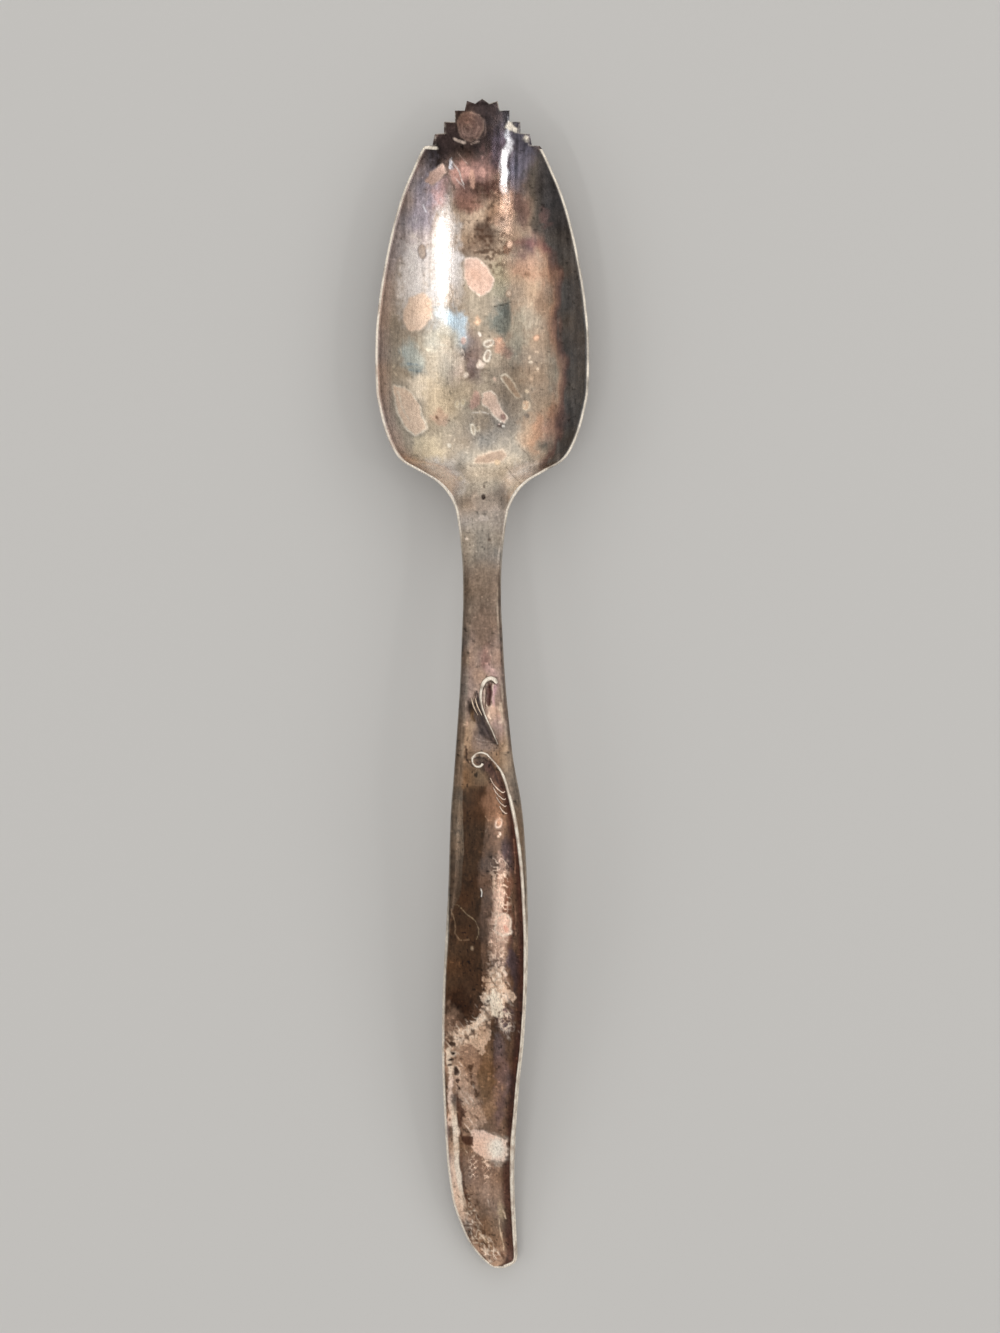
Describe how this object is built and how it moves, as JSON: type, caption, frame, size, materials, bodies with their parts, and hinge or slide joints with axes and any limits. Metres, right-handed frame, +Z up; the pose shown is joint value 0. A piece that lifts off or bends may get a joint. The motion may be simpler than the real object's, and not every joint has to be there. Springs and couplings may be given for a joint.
{
  "type": "grapefruit spoon",
  "caption": "Fruit spoon with a deep pointed bowl, a toothed tip, a slim bevelled stem and a hollowed handle with scroll relief, in tarnished silver plate.",
  "frame": {"origin": "on the table, under the middle of the spoon's bounding box", "axes": "+Y along the spoon from the end of the handle to the toothed tip, +Z up out of the open bowl, +X to the right when the tip points away from the viewer"},
  "size_m": [0.0278, 0.1532, 0.015],
  "materials": {
    "tip_silver": "silver plate under a dark brown tarnish, with bare bright edges on the teeth",
    "bowl_silver": "tarnished silver plate, blotched brown, rose and blue-grey, fairly glossy",
    "stem_silver": "dull silver plate under a thin taupe tarnish",
    "handle_silver": "silver plate under a dark brown tarnish, worn to bright metal across the middle and the end",
    "relief_silver": "raised edges rubbed bright"
  },
  "bodies": {
    "root": {"serrated_tip": "tip_silver", "bowl": "bowl_silver", "neck": "stem_silver", "stem": "stem_silver", "handle": "handle_silver", "leaf_scroll": "relief_silver", "leaf_veins": "relief_silver", "rim_scroll": "relief_silver", "scroll_flutes": "handle_silver"}
  },
  "joints": []
}
